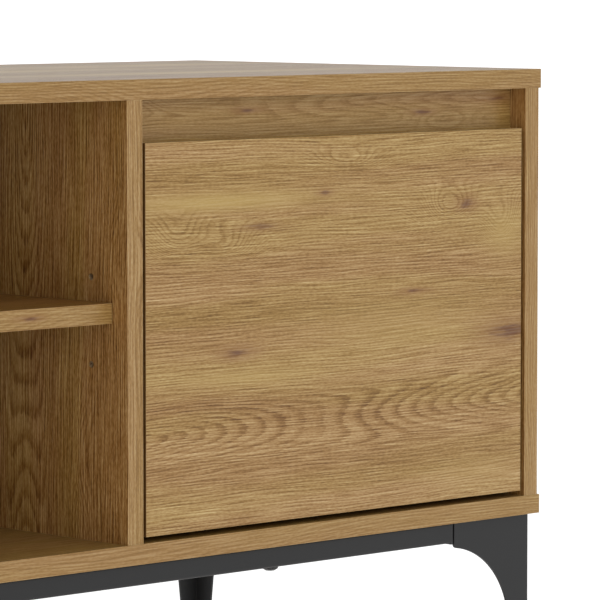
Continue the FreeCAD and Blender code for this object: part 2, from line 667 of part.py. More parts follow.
def strike_plate():
    x = DOOR_FREE_EDGE + STRIKE_EDGE
    plate = box((x, x + STRIKE[0]), (DOOR_BACK, DOOR_BACK + STRIKE[1]), about(CATCH_Z, STRIKE[2]))
    plate = softened(plate, 2.0, lambda middle, way: near(abs(way.y), 1))
    return cut_all(plate, strike_screws(FIT))


def strike_screws(room=0.0):
    x = DOOR_FREE_EDGE + STRIKE_EDGE + STRIKE[0] / 2
    return [countersunk_screw((x, DOOR_BACK + STRIKE[1], CATCH_Z + up), (0, -1, 0), 1.4, 11.0, 2.4, room)
            for up in about(0, STRIKE[2] - 12.0)]


# Steel base

def flange_outline():
    """The leg's flange seen square on, from its corner along X and up, and the point at its inner tip."""
    top = BASE_TOP
    centre = Vector(LEG_ARC_OUT, 0, top - FLANGE_EDGE - LEG_ARC)
    lean = math.atan(LEG_TAPER)

    def on_arc(angle):
        return centre + Vector(-math.cos(angle), 0, math.sin(angle)) * LEG_ARC
    tip_angle = math.acos((LEG_ARC_OUT - FLANGE_WIDTH) / LEG_ARC)
    tangent, tip = on_arc(lean), on_arc(tip_angle)
    foot = Vector(tangent.x - LEG_TAPER * (tangent.z - LEG_FOOT), 0, LEG_FOOT)
    edges = [Part.LineSegment(Vector(0, 0, LEG_FOOT), foot), Part.LineSegment(foot, tangent),
             Part.Arc(tangent, on_arc((lean + tip_angle) / 2), tip),
             Part.LineSegment(tip, Vector(FLANGE_WIDTH, 0, top)),
             Part.LineSegment(Vector(FLANGE_WIDTH, 0, top), Vector(0, 0, top)),
             Part.LineSegment(Vector(0, 0, top), Vector(0, 0, LEG_FOOT))]
    return Part.Face(Part.Wire([e.toShape() for e in edges])), tip


def front_right_leg():
    """A corner leg: two folded flanges and a welded plate inside them, under the bottom board."""
    face, tip = flange_outline()
    flange = face.extrude(Vector(0, SHEET, 0))
    flange = softened(flange, FLANGE_TIP_RADIUS, lambda middle, way: near(middle.x, tip.x)
                      and near(middle.z, tip.z) and near(abs(way.y), 1))
    turned_flange = flange.mirror(Vector(0, 0, 0), Vector(1, -1, 0))
    leg = flange.fuse(turned_flange).removeSplitter()
    leg = softened(leg, SHEET_BEND, lambda middle, way: near(middle.x, 0) and near(middle.y, 0))
    leg = softened(leg, SHEET_BEND - SHEET, lambda middle, way: near(middle.x, SHEET)
                   and near(middle.y, SHEET) and near(abs(way.z), 1))
    size, inner = LEG_PLATE_SIZE, SHEET / 2
    corners = [(inner, inner, 0), (size, inner, 0), (size, size * 0.3, LEG_PLATE_CORNER),
               (size * 0.3, size, LEG_PLATE_CORNER), (inner, size, 0)]
    plate = rounded_face([(Vector(x, y, BASE_TOP - LEG_PLATE), radius) for x, y, radius in corners])
    plate = plate.extrude(Vector(0, 0, LEG_PLATE))
    corner_clear = box((-1, SHEET_BEND), (-1, SHEET_BEND), (BASE_TOP - LEG_PLATE - 1, BASE_TOP + 1))
    leg = leg.fuse(plate.cut(corner_clear)).removeSplitter()
    leg = leg.mirror(Vector(0, 0, 0), ALONG_X)
    leg.translate(Vector(LEG_CORNER_X, LEG_CORNER_Y, 0))
    holes = [rod(2.3, (x, y, z - LEG_PLATE - 1), (x, y, z + 1)) for x, y, z in leg_screw_spots()]
    return cut_all(leg, holes)


def leg_screw_spots():
    """Points on the underside of the bottom board where the right-hand legs' screws go in."""
    return [(LEG_CORNER_X - x, end * (-LEG_CORNER_Y - y), BASE_TOP)
            for x, y in LEG_PLATE_SCREWS for end in (-1, 1)]


def leg_screws():
    return [pan_screw((x, y, z - LEG_PLATE), (0, 0, 1), 2.0, LEG_SCREW_IN + LEG_PLATE, 4.2, 2.4)
            for x, y, z in leg_screw_spots()]


def glide():
    """A plastic shoe on the foot of the front right leg."""
    sleeve_top = LEG_FOOT + GLIDE_SLEEVE
    width = leg_width(sleeve_top) + GLIDE_WALL
    outer, inner = -GLIDE_WALL, SHEET + GLIDE_WALL
    arm = box((outer, width), (outer, inner), (0, sleeve_top))
    shoe = arm.fuse(arm.mirror(Vector(0, 0, 0), Vector(1, -1, 0))).removeSplitter()
    shoe = softened(shoe, GLIDE_WALL, lambda middle, way: near(abs(way.z), 1))
    shoe = softened(shoe, 0.6, lambda middle, way: near(middle.z, 0))
    room = FIT
    slot = box((-room, leg_width(LEG_FOOT) + 1.2), (-room, SHEET + room), (LEG_FOOT, sleeve_top + 1))
    fold = box((0, SHEET_BEND), (0, SHEET_BEND), (LEG_FOOT, sleeve_top + 1))
    shoe = shoe.cut([slot, slot.mirror(Vector(0, 0, 0), Vector(1, -1, 0)), fold])
    shoe = shoe.mirror(Vector(0, 0, 0), ALONG_X)
    shoe.translate(Vector(LEG_CORNER_X, LEG_CORNER_Y, 0))
    return shoe


def leg_width(z):
    """Width of a leg's flange at a height below its curve."""
    lean = math.atan(LEG_TAPER)
    tangent_x = LEG_ARC_OUT - math.cos(lean) * LEG_ARC
    tangent_z = BASE_TOP - FLANGE_EDGE - LEG_ARC + math.sin(lean) * LEG_ARC
    return tangent_x - LEG_TAPER * (tangent_z - z)


def tube_section(x, across, height, wall):
    """The rounded outline of a tube that runs along X, in the plane at x, set in by wall."""
    radius = max(TUBE_CORNER - wall, 0.3)
    y, z = about(0, across - 2 * wall), (TUBE_BOTTOM + wall, TUBE_BOTTOM + height - wall)
    return rounded_face([(Vector(x, y[0], z[0]), radius), (Vector(x, y[1], z[0]), radius),
                         (Vector(x, y[1], z[1]), radius), (Vector(x, y[0], z[1]), radius)])


def tube(half_length, bolts):
    """A rectangular tube along X, centred on Y = 0, with a bolt hole through both walls at each bolt."""
    way = Vector(2 * half_length, 0, 0)
    outer = tube_section(-half_length, *TUBE, 0).extrude(way)
    inner = tube_section(-half_length, *TUBE, TUBE_WALL).extrude(way)
    holes = [rod(3.2, (x, 0, TUBE_BOTTOM - 1), (x, 0, BASE_TOP + 1)) for x in bolts]
    return outer.cut(inner).cut(holes)


def end_cap(half_length):
    """A plastic cap in the +X end of a tube centred on Y = 0, with a lip below the tube."""
    heights = (TUBE_BOTTOM - CAP_LIP, BASE_TOP - 0.1)
    head = box((half_length, half_length + CAP_HEAD), about(0, TUBE[0] - 2 * CAP_INSET), heights)
    head = softened(head, 0.9, lambda middle, way: near(middle.x, half_length + CAP_HEAD))
    plug = tube_section(half_length - CAP_PLUG, *TUBE, TUBE_WALL + 0.1)
    plug = plug.extrude(Vector(CAP_PLUG + 0.5, 0, 0))
    return head.fuse(plug).removeSplitter()


def quarter_turned(shape):
    return shape.rotated(Vector(0, 0, 0), ALONG_Z, 90)


def moved(shape, x, y):
    copy = shape.copy()
    copy.translate(Vector(x, y, 0))
    return copy


def front_tube():
    bolts = [side * x for x in LONG_TUBE_BOLTS for side in (-1, 1)]
    return moved(tube(LONG_TUBE_END, bolts), 0, TUBE_Y)


def right_tube():
    bolts = about(0, 2 * SHORT_TUBE_BOLT)
    return moved(quarter_turned(tube(SHORT_TUBE_END, bolts)), TUBE_X, 0)


def end_caps():
    """Caps of every tube: two on each long tube, two on each short one."""
    long_cap, short_cap = end_cap(LONG_TUBE_END), quarter_turned(end_cap(SHORT_TUBE_END))
    caps = [moved(long_cap, 0, side * TUBE_Y) for side in (-1, 1)]
    caps.append(moved(short_cap, TUBE_X, 0))
    caps.append(moved(short_cap, TUBE_X, 0).mirror(Vector(0, 0, 0), ALONG_Y))
    return both(caps)


def tube_bolt_spots():
    """(x, y) of every right-hand bolt that holds a tube to the bottom board."""
    spots = [(x, side * TUBE_Y) for x in LONG_TUBE_BOLTS for side in (-1, 1)]
    return spots + [(TUBE_X, side * SHORT_TUBE_BOLT) for side in (-1, 1)]


def tube_bolts():
    """Button-head bolts up through the tubes."""
    return [pan_screw((x, y, TUBE_BOTTOM), (0, 0, 1), 3.0, TUBE[1] + INSERT_LENGTH - 1, 6.6, 3.4)
            for x, y in tube_bolt_spots()]


def inserts():
    """Threaded sleeves in the bottom board that the tube bolts screw into."""
    sleeves = []
    for x, y in tube_bolt_spots():
        sleeve = rod(INSERT_RADIUS, (x, y, BASE_TOP + 0.2), (x, y, BASE_TOP + INSERT_LENGTH))
        bore = rod(3.0 + FIT, (x, y, BASE_TOP - 1), (x, y, BASE_TOP + INSERT_LENGTH + 1))
        sleeves.append(sleeve.cut(bore))
    return sleeves


def save_pair(name, shapes):
    """Writes a right-hand node and its left-hand mirror image."""
    shapes = shapes if isinstance(shapes, list) else [shapes]
    save(f"right_{name}", shapes)
    save(f"left_{name}", [left_of(s) for s in shapes])


def main():
    os.makedirs("parts", exist_ok=True)
    save("top_panel", top_board())
    save("bottom_panel", bottom_board())
    save_pair("side_panel", upright(UPRIGHTS["side"]))
    save_pair("divider", upright(UPRIGHTS["divider"]))
    save_pair("recess_strip", recess_strip())
    right_back, centre_back = back_boards()
    save_pair("back_panel", right_back)
    save("centre_back_panel", centre_back)
    save("back_panel_nails", both(nails()))
    save("shelf", shelf())
    save("shelf_pins", both(shelf_pins()))
    save("upright_dowels", both(upright_dowels()))
    save("strip_dowels", both(strip_dowels()))
    save("cam_locks", both(cams()))
    save("cam_bolts", both(cam_bolts()))
    save("confirmat_screws", both(confirmat_screws()))

    save_pair("door", door())
    save_pair("hinge_pins", hinge_pins())
    save_pair("cup_screws", cup_screws())
    save_pair("strike_plate", strike_plate())
    save_pair("strike_screws", strike_screws())
    for level, z in HINGE_HEIGHTS.items():
        save_pair(f"{level}_hinge_cup", hinge_cup(z))
        save_pair(f"{level}_hinge_arm", hinge_arm(z))
    save_pair("hinge_plates", [mounting_plate(z) for z in HINGE_HEIGHTS.values()])
    save("hinge_plate_screws", both(plate_screws()))
    save("hinge_arm_screws", both(arm_screws()))
    save_pair("catch_housing", catch_housing())
    save("catch_magnets", both([catch_magnet()]))
    save("catch_pole_plates", both(pole_plates()))
    save("catch_screws", both(catch_screws()))

    front_leg, front_shoe = front_right_leg(), glide()
    rear_leg, rear_shoe = [shape.mirror(Vector(0, 0, 0), ALONG_Y) for shape in (front_leg, front_shoe)]
    for name, leg in (("front", front_leg), ("rear", rear_leg)):
        save(f"{name}_right_leg", leg)
        save(f"{name}_left_leg", left_of(leg))
    save("leg_glides", both([front_shoe, rear_shoe]))
    save("leg_screws", both(leg_screws()))
    tube_front = front_tube()
    save("front_rail", tube_front)
    save("rear_rail", tube_front.mirror(Vector(0, 0, 0), ALONG_Y))
    save_pair("side_rail", right_tube())
    save("rail_end_caps", end_caps())
    save("rail_bolts", both(tube_bolts()))
    save("rail_bolt_inserts", both(inserts()))


main()
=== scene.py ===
"""Looks of the TV stand: oak-effect boards, an anthracite steel base and plated fittings.

Every material is procedural and works in the stand's own frame, in metres, so its pattern stays on its board.
"""

import json
import math

import bpy
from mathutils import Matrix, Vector


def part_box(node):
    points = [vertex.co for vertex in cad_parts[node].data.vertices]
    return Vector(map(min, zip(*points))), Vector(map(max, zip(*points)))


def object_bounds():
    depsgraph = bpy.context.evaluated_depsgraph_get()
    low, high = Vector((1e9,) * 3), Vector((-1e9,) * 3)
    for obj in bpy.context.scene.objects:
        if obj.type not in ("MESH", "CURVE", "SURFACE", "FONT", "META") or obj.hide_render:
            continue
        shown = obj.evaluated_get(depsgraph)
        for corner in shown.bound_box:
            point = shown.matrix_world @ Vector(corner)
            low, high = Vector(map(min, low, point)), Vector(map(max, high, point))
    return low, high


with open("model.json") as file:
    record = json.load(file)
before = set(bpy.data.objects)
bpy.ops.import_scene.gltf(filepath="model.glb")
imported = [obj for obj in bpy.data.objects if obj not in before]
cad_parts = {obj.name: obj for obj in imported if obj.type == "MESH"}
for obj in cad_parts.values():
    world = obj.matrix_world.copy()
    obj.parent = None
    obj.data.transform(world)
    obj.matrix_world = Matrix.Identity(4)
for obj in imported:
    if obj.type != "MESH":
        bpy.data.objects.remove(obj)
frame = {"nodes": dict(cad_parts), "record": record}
cad_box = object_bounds()
nodes = frame["nodes"]

# Camera, from the corner where the top board's front edge meets its right end
CAMERA_FROM_CORNER = Vector((-2.5142, -2.3132, 0.0868))
CAMERA_YAW = math.radians(44.196)        # to the right of straight back
CAMERA_PITCH = math.radians(4.517)       # downwards
CAMERA_LENS = 259.6
SENSOR = 36.0

# Studio
FLOOR_SIZE = 160.0
FLOOR_COLOUR = (0.60, 0.60, 0.60)
FLOOR_GLOW = 0.70            # the floor is a lit white sweep
SKY_LOW = 1.10               # brightness of the surroundings at the horizon, and overhead
SKY_HIGH = 0.62
SUN = 0.55
SUN_ANGLE = math.radians(45)
SUN_FROM = Vector((-0.13, -1.0, 0.24))

# Oak print, in metres. A pair is how fast a noise changes along and across the grain, per metre.
RING_STEP = 0.0021           # between the growth rings of a cathedral
STAVE = 0.125                # from one cathedral's middle line to the next
RING_JITTER = 0.0012         # how far fibres shift the rings' edges
RIPPLE_STEP = 0.0026         # between the fine embossed lines
SEAM_AT = 0.001              # edge banding's joint line, from the board's edge
SEAM_WIDTH = 0.00012
WORN_EDGE = 0.0007
PLAIN_BAND = 0.45            # how much plainer the print is on edge bands
PAINTED_GAP_SHADE = 0.80            # painted shade: how much darker the bands on a door's upright edges are, standing in for the shadow in the gap beside a closed door
DARK_SHEEN = 0.25            # how much the dark and the pale wood shine
PALE_SHEEN = 0.52
RAW_DEPTH = 0.0006           # deeper than this behind every face, the core shows

SWELL = (1.9, 3.0)           # where cathedrals widen and close
SWELL_HEIGHT = 0.22
HEART = 0.004                # half width of a cathedral's innermost ring
FIGURE_FADE = (0.055, 0.020)   # from a cathedral's middle: rings are faint, and clear
STRAIGHT_SHOWN = 0.40        # how clearly rings show in straight grain
WANDER = (2.6, 7.0)          # slow bends of the grain
WANDER_WIDTH = 0.018
SWAY = (11.0, 30.0)          # quicker bends
SWAY_WIDTH = 0.0055
PORES = (26.0, 1000.0)
FLECKS = (260.0, 1100.0)
FIBRES = (14.0, 420.0)
BANDS = (0.9, 30.0)
PATCHES = (6.0, 34.0)
HUES = (2.4, 30.0)
DRIFT = (8.0, 110.0)         # embossed lines wave by up to this many steps
DRIFT_STEPS = 3.2
RIPPLE_PATCHES = (20.0, 300.0)
RING_PATCHES = (6.0, 80.0)
FRAYED = (38.0, 330.0)       # ragged edge of a knot
RIPPLE_TONE = 0.26
RING_TONE = 0.21
TINT_SHARE = 0.50
PORE_RELIEF = 0.5
RIPPLE_RELIEF = 0.35
RELIEF = 0.0004
ROUGHNESS = (0.44, 0.32)     # in the hollows and on the ridges
RAW_ROUGHER = 0.4
RUBBED = 60.0
EDGE_WEAR = 0.30
SEAM_SHADE = 0.30
REAR_FACE = 0.00005          # thickness of the rear face's layer
CHIPS = 420.0                # chips of the core, per metre
CHIP_PALE = (0.46, 0.32, 0.17)
CHIP_DARK = (0.20, 0.12, 0.06)

OAK_DARK = (0.092, 0.038, 0.009)
OAK_BROWN = (0.184, 0.095, 0.026)
OAK_MID = (0.285, 0.164, 0.051)
OAK_PALE = (0.378, 0.243, 0.092)
OAK_LIGHT = (0.530, 0.390, 0.190)
OAK_GOLD = (0.400, 0.272, 0.086)
GOLD_TINT = (0.53, 0.54, 0.38)
PINK_TINT = (0.53, 0.47, 0.47)
KNOT_BROWN = (0.125, 0.050, 0.017)
KNOT_HALO = (0.235, 0.115, 0.035)
WARM_PRINT_AND_BOUNCE = (1.0, 0.88, 0.76)   # warmer tint of broad faces beside their edge bands: partly a print difference, partly painted warm light bounced between the boards


class Graph:
    """A short way to write a material's node tree. Numbers and sockets can be mixed as inputs."""

    SHADER_INPUTS = {"colour": "Base Color", "metal": "Metallic", "roughness": "Roughness",
                     "normal": "Normal", "specular": "Specular IOR Level"}

    def __init__(self, name):
        self.material = bpy.data.materials.new(name)
        self.material.use_nodes = True
        self.tree = self.material.node_tree
        self.tree.nodes.clear()
        output = self.tree.nodes.new("ShaderNodeOutputMaterial")
        self.shader = self.tree.nodes.new("ShaderNodeBsdfPrincipled")
        self.tree.links.new(self.shader.outputs[0], output.inputs["Surface"])

    def put(self, socket, value):
        """Links a socket, or sets a constant."""
        if isinstance(value, bpy.types.NodeSocket):
            self.tree.links.new(value, socket)
        elif isinstance(value, (tuple, list)) and len(value) == 3 and socket.type == "RGBA":
            socket.default_value = (*value, 1.0)
        else:
            socket.default_value = value

    def finish(self, **inputs):
        """Sets the shader's inputs and gives the material."""
        for name, value in inputs.items():
            self.put(self.shader.inputs[self.SHADER_INPUTS[name]], value)
        return self.material

    def node(self, kind, outputs=0, inputs=(), **settings):
        node = self.tree.nodes.new(kind)
        for key, value in settings.items():
            setattr(node, key, value)
        for key, value in dict(inputs).items():
            self.put(node.inputs[key], value)
        return node.outputs[outputs]

    def math(self, operation, *values, clamp=False):
        return self.node("ShaderNodeMath", inputs=enumerate(values), operation=operation, use_clamp=clamp)

    def add(self, a, b):
        return self.math("ADD", a, b)

    def sub(self, a, b):
        return self.math("SUBTRACT", a, b)

    def mul(self, a, b):
        return self.math("MULTIPLY", a, b)

    def length(self, a, b):
        return self.math("SQRT", self.add(self.mul(a, a), self.mul(b, b)))

    def vector(self, x, y, z):
        return self.node("ShaderNodeCombineXYZ", inputs=enumerate((x, y, z)))

    def split(self, vector):
        node = self.tree.nodes.new("ShaderNodeSeparateXYZ")
        self.put(node.inputs[0], vector)
        return node.outputs[0], node.outputs[1], node.outputs[2]

    def blend(self, share, a, b):
        """Number a where share is 0 and b where it is 1."""
        return self.add(a, self.mul(share, self.sub(b, a)))

    def mix(self, share, a, b, mode="MIX"):
        """Colour a where share is 0 and b where it is 1."""
        node = self.tree.nodes.new("ShaderNodeMix")
        node.data_type = "RGBA"
        node.blend_type = mode
        colours = [s for s in node.inputs if s.type == "RGBA"]
        self.put(node.inputs[0], share)
        self.put(colours[0], a)
        self.put(colours[1], b)
        return [s for s in node.outputs if s.type == "RGBA"][0]

    def steps(self, value, low, high):
        """Smoothly from 0 at low to 1 at high, either way round."""
        return self.node("ShaderNodeMapRange", interpolation_type="SMOOTHSTEP", inputs={
            "Value": value, "From Min": low, "From Max": high, "To Min": 0.0, "To Max": 1.0})

    def ramp(self, value, *stops):
        """Colour along (place, colour) stops."""
        node = self.tree.nodes.new("ShaderNodeValToRGB")
        elements = node.color_ramp.elements
        while len(elements) < len(stops):
            elements.new(0.5)
        for element, (place, colour) in zip(elements, stops):
            element.position = place
            element.color = (*colour, 1.0)
        self.put(node.inputs[0], value)
        return node.outputs[0]

    def above(self, value, limit):
        return self.math("GREATER_THAN", value, limit)

    def noise(self, place, detail=2.0, roughness=0.5):
        return self.node("ShaderNodeTexNoise", noise_dimensions="3D", inputs={
            "Vector": place, "Scale": 1.0, "Detail": detail, "Roughness": roughness, "Distortion": 0.0})

    def grain(self, along, across, per_metre, seed, detail=2.0, roughness=0.5):
        """Noise drawn out along the grain: per_metre is how fast it changes along and across."""
        place = self.vector(self.mul(along, per_metre[0]), self.mul(across, per_metre[1]), seed)
        return self.noise(place, detail, roughness)

    def place(self):
        return self.split(self.node("ShaderNodeTexCoord", outputs="Object"))

    def facing(self):
        """1 where the surface looks along X, Y and Z, either way."""
        return [self.above(self.math("ABSOLUTE", part), 0.7)
                for part in self.split(self.node("ShaderNodeTexCoord", outputs="Normal"))]

    def bump(self, height, distance, strength=1.0):
        return self.node("ShaderNodeBump", inputs={
            "Height": height, "Distance": distance, "Strength": strength})


def spread(g, scale, detail=2.0, roughness=0.5):
    """Noise that is the same in all directions, with features of about 1 / scale metres."""
    x, y, z = g.place()
    return g.noise(g.vector(g.mul(x, scale), g.mul(y, scale), g.mul(z, scale)), detail, roughness)


# Oak-effect boards

def near_spot(g, along, across, spot):
    """1 at the middle of a spot and fading to 0 outside it: (along, across, half length, half width)."""
    centre_along, centre_across, length, width = spot
    u = g.mul(g.sub(along, centre_along), 1 / length)
    v = g.mul(g.sub(across, centre_across), 1 / width)
    return g.math("EXPONENT", g.mul(g.add(g.mul(u, u), g.mul(v, v)), -1.0))


def stave_field(g, along, across, seed):
    """Growth rings of a plain-sawn board, cathedrals side by side with straight grain between them, and how
    clearly they show."""
    from_middle = g.sub(g.math("PINGPONG", g.add(across, STAVE * 0.7), STAVE), STAVE / 2)
    swell = g.grain(along, across, SWELL, g.add(seed, 7.7), 1.0)
    rise = g.mul(g.sub(swell, 0.5), SWELL_HEIGHT)
    shown = g.blend(g.steps(g.math("ABSOLUTE", from_middle), *FIGURE_FADE), STRAIGHT_SHOWN, 1.0)
    return g.length(from_middle, g.add(rise, HEART)), shown


def door_field(g, along, across, figure):
    """Growth rings of a door, one cathedral and swirls round former branches, and how clearly they show."""
    middle, tilt, start, growth, reach, swirls = figure
    from_middle = g.sub(across, g.add(g.mul(along, tilt), middle))
    wide = g.mul(from_middle, 1 / reach)
    opening = g.mul(g.add(g.mul(along, growth), start), g.math("EXPONENT", g.mul(g.mul(wide, wide), -1.0)))
    field = g.length(from_middle, opening)
    shown = g.steps(g.math("ABSOLUTE", wide), 1.3, 0.4)
    for *spot, height in swirls:
        near = near_spot(g, along, across, spot)
        field = g.add(field, g.mul(near, height))
        shown = g.math("MAXIMUM", shown, near)
    return field, g.blend(shown, 0.30, 1.0)


def oak_figure(g, along, across, seed, figure=None, contrast=1.0, shade=0.0):
    """Colour, relief and tone of the oak print at (along, across) in metres."""
    wander = g.grain(along, across, WANDER, seed, 1.0)
    sway = g.grain(along, across, SWAY, g.add(seed, 3.1), 1.0)
    gentle = g.add(across, g.mul(g.sub(wander, 0.5), WANDER_WIDTH))
    bent = g.add(gentle, g.mul(g.sub(sway, 0.5), SWAY_WIDTH))
    field, shown = door_field(g, along, bent, figure) if figure else stave_field(g, along, bent, seed)

    pores = g.grain(along, gentle, PORES, g.add(seed, 17.0), 1.0, 0.8)
    drift = g.grain(along, gentle, DRIFT, g.add(seed, 53.0), 1.0, 0.4)
    ripple = g.math("FRACT", g.add(g.mul(gentle, 1 / RIPPLE_STEP), g.mul(drift, DRIFT_STEPS)))
    ripple = g.mul(g.steps(ripple, 0.0, 0.8), g.steps(ripple, 1.0, 0.8))
    ripple_share = g.steps(g.grain(along, gentle, RIPPLE_PATCHES, g.add(seed, 59.0), 1.0), 0.12, 0.62)
    field = g.add(field, g.mul(g.sub(pores, 0.5), RING_JITTER))
    ring = g.math("FRACT", g.mul(field, 1 / RING_STEP))
    late_wood = g.mul(g.steps(ring, 0.35, 0.85), g.steps(ring, 1.0, 0.92))
    ring_share = g.mul(g.steps(g.grain(along, field, RING_PATCHES, g.add(seed, 11.0)), 0.18, 0.52), shown)
    fibres = g.grain(along, field, FIBRES, g.add(seed, 5.0), 1.0, 0.8)
    flecks = g.grain(along, gentle, FLECKS, g.add(seed, 67.0), 1.0)
    bands = g.grain(along, bent, BANDS, g.add(seed, 31.0))
    patches = g.grain(along, across, PATCHES, g.add(seed, 37.0), 2.0, 0.6)

    tone = 0.5 + shade
    for layer, share in ((pores, 0.80), (flecks, 0.52), (fibres, 0.20), (bands, 0.46), (patches, 0.10)):
        tone = g.add(tone, g.mul(g.sub(layer, 0.5), share * contrast))
    tone = g.add(tone, g.mul(g.mul(g.sub(ripple, 0.5), ripple_share), RIPPLE_TONE * contrast))
    tone = g.sub(tone, g.mul(g.mul(g.sub(late_wood, 0.3), ring_share), RING_TONE * contrast))
    colour = g.ramp(tone, (0.0, OAK_DARK), (0.27, OAK_BROWN), (0.50, OAK_MID), (0.72, OAK_PALE),
                    (1.0, OAK_LIGHT))
    hue = g.grain(along, bent, HUES, g.add(seed, 47.0))
    tint = g.mix(g.steps(hue, 0.38, 0.62), PINK_TINT, GOLD_TINT)
    colour = g.mix(TINT_SHARE, colour, tint, "SOFT_LIGHT")
    relief = g.add(g.mul(pores, PORE_RELIEF), g.mul(g.mul(ripple, ripple_share), RIPPLE_RELIEF))
    return colour, relief, tone


def add_marks(g, colour, along, across, marks):
    """Knots and mineral streaks on one face, each a reddish halo round a dark core: (along, across,
    half length, half width, strength)."""
    for number, (centre_along, centre_across, length, width, strength) in enumerate(marks):
        frayed = g.grain(along, across, FRAYED, float(number), 2.0, 0.7)
        u = g.mul(g.sub(along, centre_along), 1 / length)
        v = g.mul(g.sub(across, centre_across), 1 / width)
        reach = g.add(g.length(u, v), g.mul(g.sub(frayed, 0.5), 1.8))
        colour = g.mix(g.mul(g.steps(reach, 2.4, 0.2), 0.8 * strength), colour, KNOT_HALO)
        colour = g.mix(g.mul(g.steps(reach, 0.95, 0.1), strength), colour, KNOT_BROWN)
    return colour


def add_glow(g, colour, along, across, patches):
    """Golden early wood: (along, across, half length, half width, strength)."""
    for *spot, strength in patches:
        colour = g.mix(g.mul(near_spot(g, along, across, spot), strength), colour, OAK_GOLD)
    return colour


def chipboard(g, x, y, z):
    """Colour of the raw core."""
    place = g.vector(g.mul(x, CHIPS), g.mul(y, CHIPS), g.mul(z, CHIPS))
    chips = g.node("ShaderNodeTexVoronoi", outputs="Color", inputs={"Vector": place, "Scale": 1.0})
    shade, _, _ = g.split(chips)
    return g.mix(shade, CHIP_PALE, CHIP_DARK)


def box_distances(g, low, high, place):
    """How far behind the nearest face of the board a point is, and how far from the nearest edge line."""
    to_face = []
    for i in range(3):
        to_low = g.sub(place[i], low[i])
        to_high = g.sub(high[i], place[i])
        to_face.append(g.math("MINIMUM", to_low, to_high))
    a, b, c = to_face
    depth = g.math("MINIMUM", g.math("MINIMUM", a, b), c)
    pairs = [g.math("MAXIMUM", a, b), g.math("MAXIMUM", b, c), g.math("MAXIMUM", c, a)]
    to_edge = g.math("MINIMUM", g.math("MINIMUM", pairs[0], pairs[1]), pairs[2])
    return depth, to_edge


def oak_board(node, grain, seed, figure=None, contrast=1.0, shade=0.0, marks=(), glow=(),
              banded_front=True, warm_print_and_bounce=False):
    """The finish of one board, with its grain along X or Z. The figure, marks and glow are measured from the
    board's low corner, and show on every face that their place reaches. Seams, worn edges and the raw core
    follow the board's box."""
    g = Graph(f"oak_{node}")
    low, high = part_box(node)
    place = g.place()
    x_in, y_in, z_in = [g.sub(place[i], low[i]) for i in range(3)]
    on_x, on_y, on_z = g.facing()
    if grain == "X" and high[1] - low[1] > high[2] - low[2]:
        along = g.blend(on_x, x_in, y_in)
        across = g.blend(on_z, z_in, y_in)
    elif grain == "X":
        along = g.blend(on_x, x_in, z_in)
        across = g.blend(g.math("MAXIMUM", on_x, on_z), z_in, y_in)
    else:
        along = g.blend(on_z, z_in, y_in)
        across = g.blend(on_x, x_in, y_in)
    face_seed = g.add(seed, g.add(g.mul(on_x, 5.3), g.mul(on_z, 9.1)))
    colour, relief, tone = oak_figure(g, along, across, face_seed, figure, contrast, shade)
    if banded_front:
        colour = g.mix(g.mul(on_y, PLAIN_BAND), colour, OAK_MID)
    # Painted shade: the upright edges of doors and strips are darkened towards the darkest oak, standing in
    # for the shadow in the gap beside them.
    if not banded_front:
        colour = g.mix(g.mul(on_x, PAINTED_GAP_SHADE), colour, OAK_DARK)
    # Partly painted light: broad faces are tinted warmer than their edge bands, partly as a print difference
    # and partly standing in for warm light bounced between the boards.
    if warm_print_and_bounce:
        colour = g.mix(g.sub(1.0, on_y), colour, WARM_PRINT_AND_BOUNCE, "MULTIPLY")
    colour = add_glow(g, colour, along, across, glow)
    colour = add_marks(g, colour, along, across, marks)

    depth, to_edge = box_distances(g, low, high, place)
    worn = g.mul(g.steps(to_edge, WORN_EDGE, 0.0), g.steps(spread(g, RUBBED), 0.35, 0.75))
    colour = g.mix(g.mul(worn, EDGE_WEAR), colour, OAK_LIGHT)
    seam = g.steps(g.math("ABSOLUTE", g.sub(to_edge, SEAM_AT)), SEAM_WIDTH, 0.0)
    colour = g.mix(g.mul(seam, SEAM_SHADE), colour, OAK_DARK)
    raw = g.above(depth, RAW_DEPTH)
    if banded_front:
        raw = g.math("MAXIMUM", raw, g.above(y_in, high[1] - low[1] - REAR_FACE))
    colour = g.mix(raw, colour, chipboard(g, *place))

    roughness = g.add(g.blend(g.steps(relief, 0.15, 0.60), *ROUGHNESS), g.mul(raw, RAW_ROUGHER))
    sheen = g.blend(g.steps(tone, 0.30, 0.70), DARK_SHEEN, PALE_SHEEN)
    return g.finish(colour=colour, roughness=roughness, normal=g.bump(relief, RELIEF, 0.5), specular=sheen)


DOOR_FIGURE = (0.066, 0.03, 0.004, 0.105, 0.030, (
    (0.030, 0.212, 0.030, 0.024, 0.022),
    (0.080, 0.206, 0.034, 0.018, 0.022),
    (0.318, 0.224, 0.034, 0.020, 0.032),
    (0.376, 0.206, 0.028, 0.028, 0.036),
    (0.205, 0.268, 0.040, 0.012, 0.018),
))
DIVIDER_FIGURE = (0.112, 0.0, 0.036, -0.10, 0.034, (
    (0.205, 0.020, 0.050, 0.014, 0.014),
    (0.060, 0.050, 0.060, 0.018, 0.016),
))
DOOR_GLOW = (
    (0.070, 0.241, 0.100, 0.008, 0.85),
    (0.380, 0.205, 0.026, 0.020, 0.60),
    (0.260, 0.142, 0.110, 0.018, 0.40),
    (0.100, 0.110, 0.060, 0.006, 0.50),
    (0.350, 0.020, 0.060, 0.010, 0.40),
)
DOOR_MARKS = (
    (0.182, 0.244, 0.007, 0.0026, 0.75),
    (0.116, 0.221, 0.018, 0.0030, 0.60),
    (0.277, 0.165, 0.012, 0.0018, 0.95),
    (0.386, 0.128, 0.030, 0.0080, 0.95),
    (0.091, 0.129, 0.016, 0.0042, 0.95),
    (0.336, 0.230, 0.009, 0.0052, 0.85),
)
